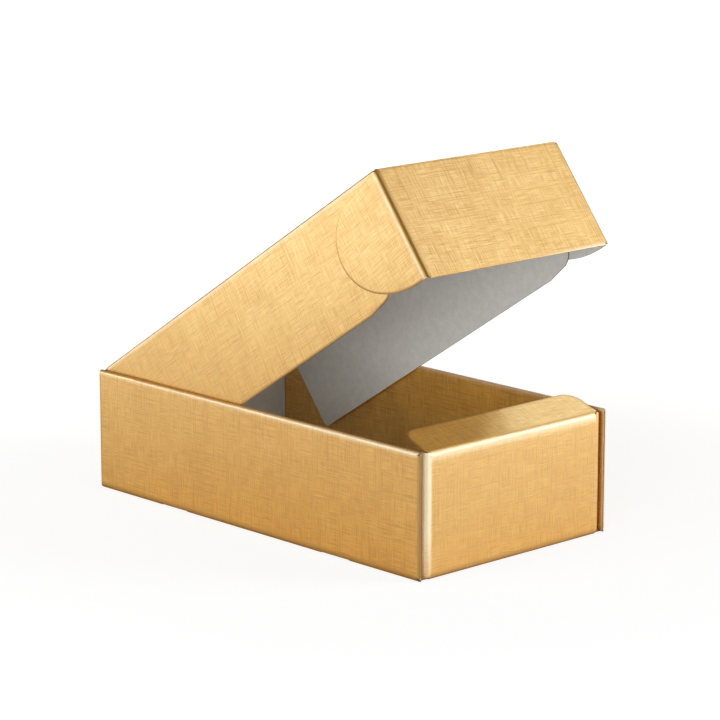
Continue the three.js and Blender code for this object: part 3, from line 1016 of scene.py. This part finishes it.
# A rounded ear turns back from each end of the front panel, outside the lid's side flap.
# Its free edge is two quarter ovals that meet at the nose.
EAR_DEPTH = 67.8
EAR_NOSE = 37.0
EAR_TOP_DROP = 4.8
EAR_TOP_STRAIGHT = 34.0
EAR_ROOT = 0.95
EAR_FOOT_TURN = 87.4  # degrees of the lower oval, which ends where the fold begins
EAR_EDGE_HIGHLIGHT = 0.6
ear_strip = Strip((PANEL_HALF - SEAM, -BOARD / 2), SEAM, (EAR_FOLD, 90), LONG_RUN)
ear_flat = ear_strip.turns()[0][1]


def back(distance):
    """Distance along the ear's strip for a distance behind the panel's front face."""
    return ear_flat + distance - EAR_FOLD


nose_v = EAR_NOSE - BOARD / 2
top_v = EAR_TOP_DROP - BOARD / 2
over_nose = EAR_DEPTH - EAR_TOP_STRAIGHT
for side, label in SIDES:
    outline = [(0, ear_top), (SEAM - 0.35, ear_top), (SEAM - 0.2, EAR_ROOT), (ear_flat, EAR_ROOT)]
    outline += arc(back(EAR_TOP_STRAIGHT), nose_v, over_nose, -(nose_v - top_v), 90, 0, 16)
    outline += arc(back(0), nose_v, EAR_DEPTH, ear_bottom - nose_v, 0, EAR_FOOT_TURN, 18)[1:]
    outline += [(0, ear_bottom)]

    def place(u, v, depth, side=side):
        p, q = ear_strip.at(u, depth)
        return front_point(side * p, v, -q)

    # Painted shade on the left ear's fold, and a painted highlight on the ear just past it.
    def ear_painted_light(u, v, side=side):
        beyond = max(0.0, 1 - (u - ear_flat) / 2.0)
        return EAR_FOLD_SHADES[side] if u < ear_flat - 0.5 else EAR_EDGE_HIGHLIGHT * beyond

    ear = board_piece(
        f"lid_ear_{label}_board", outline, place,
        lambda u, v, side=side: (side * (PANEL_HALF - SEAM + u), FRONT_BLANK + v),
        joined=lambda u, v: u < 0.01,
        cuts_u=ear_strip.cuts() + even_cuts(ear_flat + 2, back(EAR_DEPTH) - 1, 12),
        cuts_v=even_cuts(6, 80, 15), crease=ear_painted_light,
    )
    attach(ear, "lid_front")
    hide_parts(f"lid_ear_{label}")

# The box stands on a plain pale floor, a wide flat sheet just under it. The camera sees a
# white that still takes the box's soft shadow, and the box gets the light of a pale table.
FLOOR_HALF = 6.0
FLOOR_BELOW = 0.0002
FLOOR_NEAR = 0.79  # the floor's own glow beside the box
FLOOR_FAR = 1.0
FADE_FROM = 0.3
FADE_TO = 1.2
corners = [(x * FLOOR_HALF, y * FLOOR_HALF, 0) for x, y in ((-1, -1), (1, -1), (1, 1), (-1, 1))]
floor_mesh = bpy.data.meshes.new("floor")
floor_mesh.from_pydata(corners, [], [(0, 1, 2, 3)])
floor = bpy.data.objects.new("floor", floor_mesh)
bpy.context.scene.collection.objects.link(floor)
floor.location.z = -FLOOR_BELOW
floor_material, tree = new_material("pale_floor")
seen = add_node(tree, "ShaderNodeLightPath").outputs["Is Camera Ray"]
shade = blend_colours(tree, seen, (0.80, 0.80, 0.80, 1.0), (0.30, 0.30, 0.30, 1.0))
plain = add_node(tree, "ShaderNodeBsdfDiffuse", {"Color": shade, "Roughness": 0.9})
spot = add_node(tree, "ShaderNodeTexCoord").outputs["Object"]
away = add_node(tree, "ShaderNodeVectorMath", {0: spot}, operation="LENGTH").outputs["Value"]
own_glow = map_range(tree, away, FADE_FROM, FADE_TO, FLOOR_NEAR, FLOOR_FAR)
strength = calculate(tree, "MULTIPLY", seen, own_glow)
glow = add_node(tree, "ShaderNodeEmission", {"Color": (1, 1, 1, 1), "Strength": strength})
both = add_node(tree, "ShaderNodeAddShader", {0: plain.outputs[0], 1: glow.outputs[0]})
add_node(tree, "ShaderNodeOutputMaterial", {"Surface": both.outputs[0]})
floor_mesh.materials.append(floor_material)

# The studio round the box is a faint even glow, white where the camera sees it, and soft
# flat lamps on every side. Each lamp has its place, its width and height, and its power.
WORLD_GLOW = 0.02
LAMP_TARGET = (0, 0, 0.12)
world = bpy.data.worlds.new("studio")
world.use_nodes = True
tree = world.node_tree
tree.nodes.clear()
rays = add_node(tree, "ShaderNodeLightPath")
strength = map_range(tree, rays.outputs["Is Camera Ray"], 0.0, 1.0, WORLD_GLOW, 1.0)
glow = add_node(tree, "ShaderNodeBackground", {"Color": (1, 1, 1, 1), "Strength": strength})
add_node(tree, "ShaderNodeOutputWorld", {"Surface": glow.outputs[0]})
bpy.context.scene.world = world


def soft_light(name, place, size, power):
    """A flat lamp aimed at the middle of the box."""
    lamp = bpy.data.lights.new(name, "AREA")
    lamp.shape = "RECTANGLE"
    lamp.size, lamp.size_y = size
    lamp.energy = power
    holder = bpy.data.objects.new(name, lamp)
    bpy.context.scene.collection.objects.link(holder)
    holder.location = place
    aim = Vector(LAMP_TARGET) - Vector(place)
    holder.rotation_euler = aim.to_track_quat("-Z", "Y").to_euler()
    holder.visible_camera = False


LAMPS = (
    ("overhead", (0.0, 0.0, 1.6), (1.4, 1.4), 3.4),
    ("left_low", (-1.6, -0.1, 0.3), (1.2, 0.5), 2.0),
    ("left_tall", (-1.4, 0.3, 0.7), (0.8, 0.5), 4.5),
    ("left_front_low", (-1.6, -0.9, 0.3), (1.0, 0.5), 11.5),
    ("front_foot", (0.0, -1.8, 0.12), (1.4, 0.2), 3.4),
    ("front_right_low", (1.2, -1.3, 0.25), (1.2, 0.45), 14.6),
    ("front_right_mid", (1.2, -1.3, 0.65), (1.0, 0.4), 3.0),
    ("front_right_high", (0.9, -0.75, 1.0), (0.8, 0.6), 2.8),
    ("front_right_far", (2.2, -2.4, 0.9), (1.5, 1.2), 13.5),
    ("rear_right_high", (0.9, 0.35, 0.95), (0.8, 0.6), 3.2),
    ("left_rear_low", (-1.2, 1.3, 0.25), (1.2, 0.45), 6.6),
    ("near_left_rear", (-0.45, 0.55, 0.12), (0.5, 0.2), 0.32),
    ("rear_high", (0.2, 1.8, 1.0), (1.4, 0.8), 0.5),
    ("in_the_tray", (-0.02, -0.08, 0.03), (0.1, 0.1), 0.03),
)
for lamp in LAMPS:
    soft_light(*lamp)

# The camera stands to the left of the front, a little above the open box, with a long lens.
# Its place and lens were fitted to the box's straight edges.
AZIMUTH = radians(-43.27)
ELEVATION = radians(12.81)
DISTANCE = 2.34167
look_at = Vector((0.03959, 0.02798, 0.10032))
level = cos(ELEVATION)
look_back = Vector((sin(AZIMUTH) * level, -cos(AZIMUTH) * level, sin(ELEVATION)))
camera_data = bpy.data.cameras.new("camera")
camera_data.sensor_width = 36.0
camera_data.lens = 158.68
camera = bpy.data.objects.new("camera", camera_data)
bpy.context.scene.collection.objects.link(camera)
camera.location = look_at + look_back * DISTANCE
camera.rotation_euler = look_back.to_track_quat("Z", "Y").to_euler()
bpy.context.scene.camera = camera
bpy.context.scene.view_settings.view_transform = "Standard"
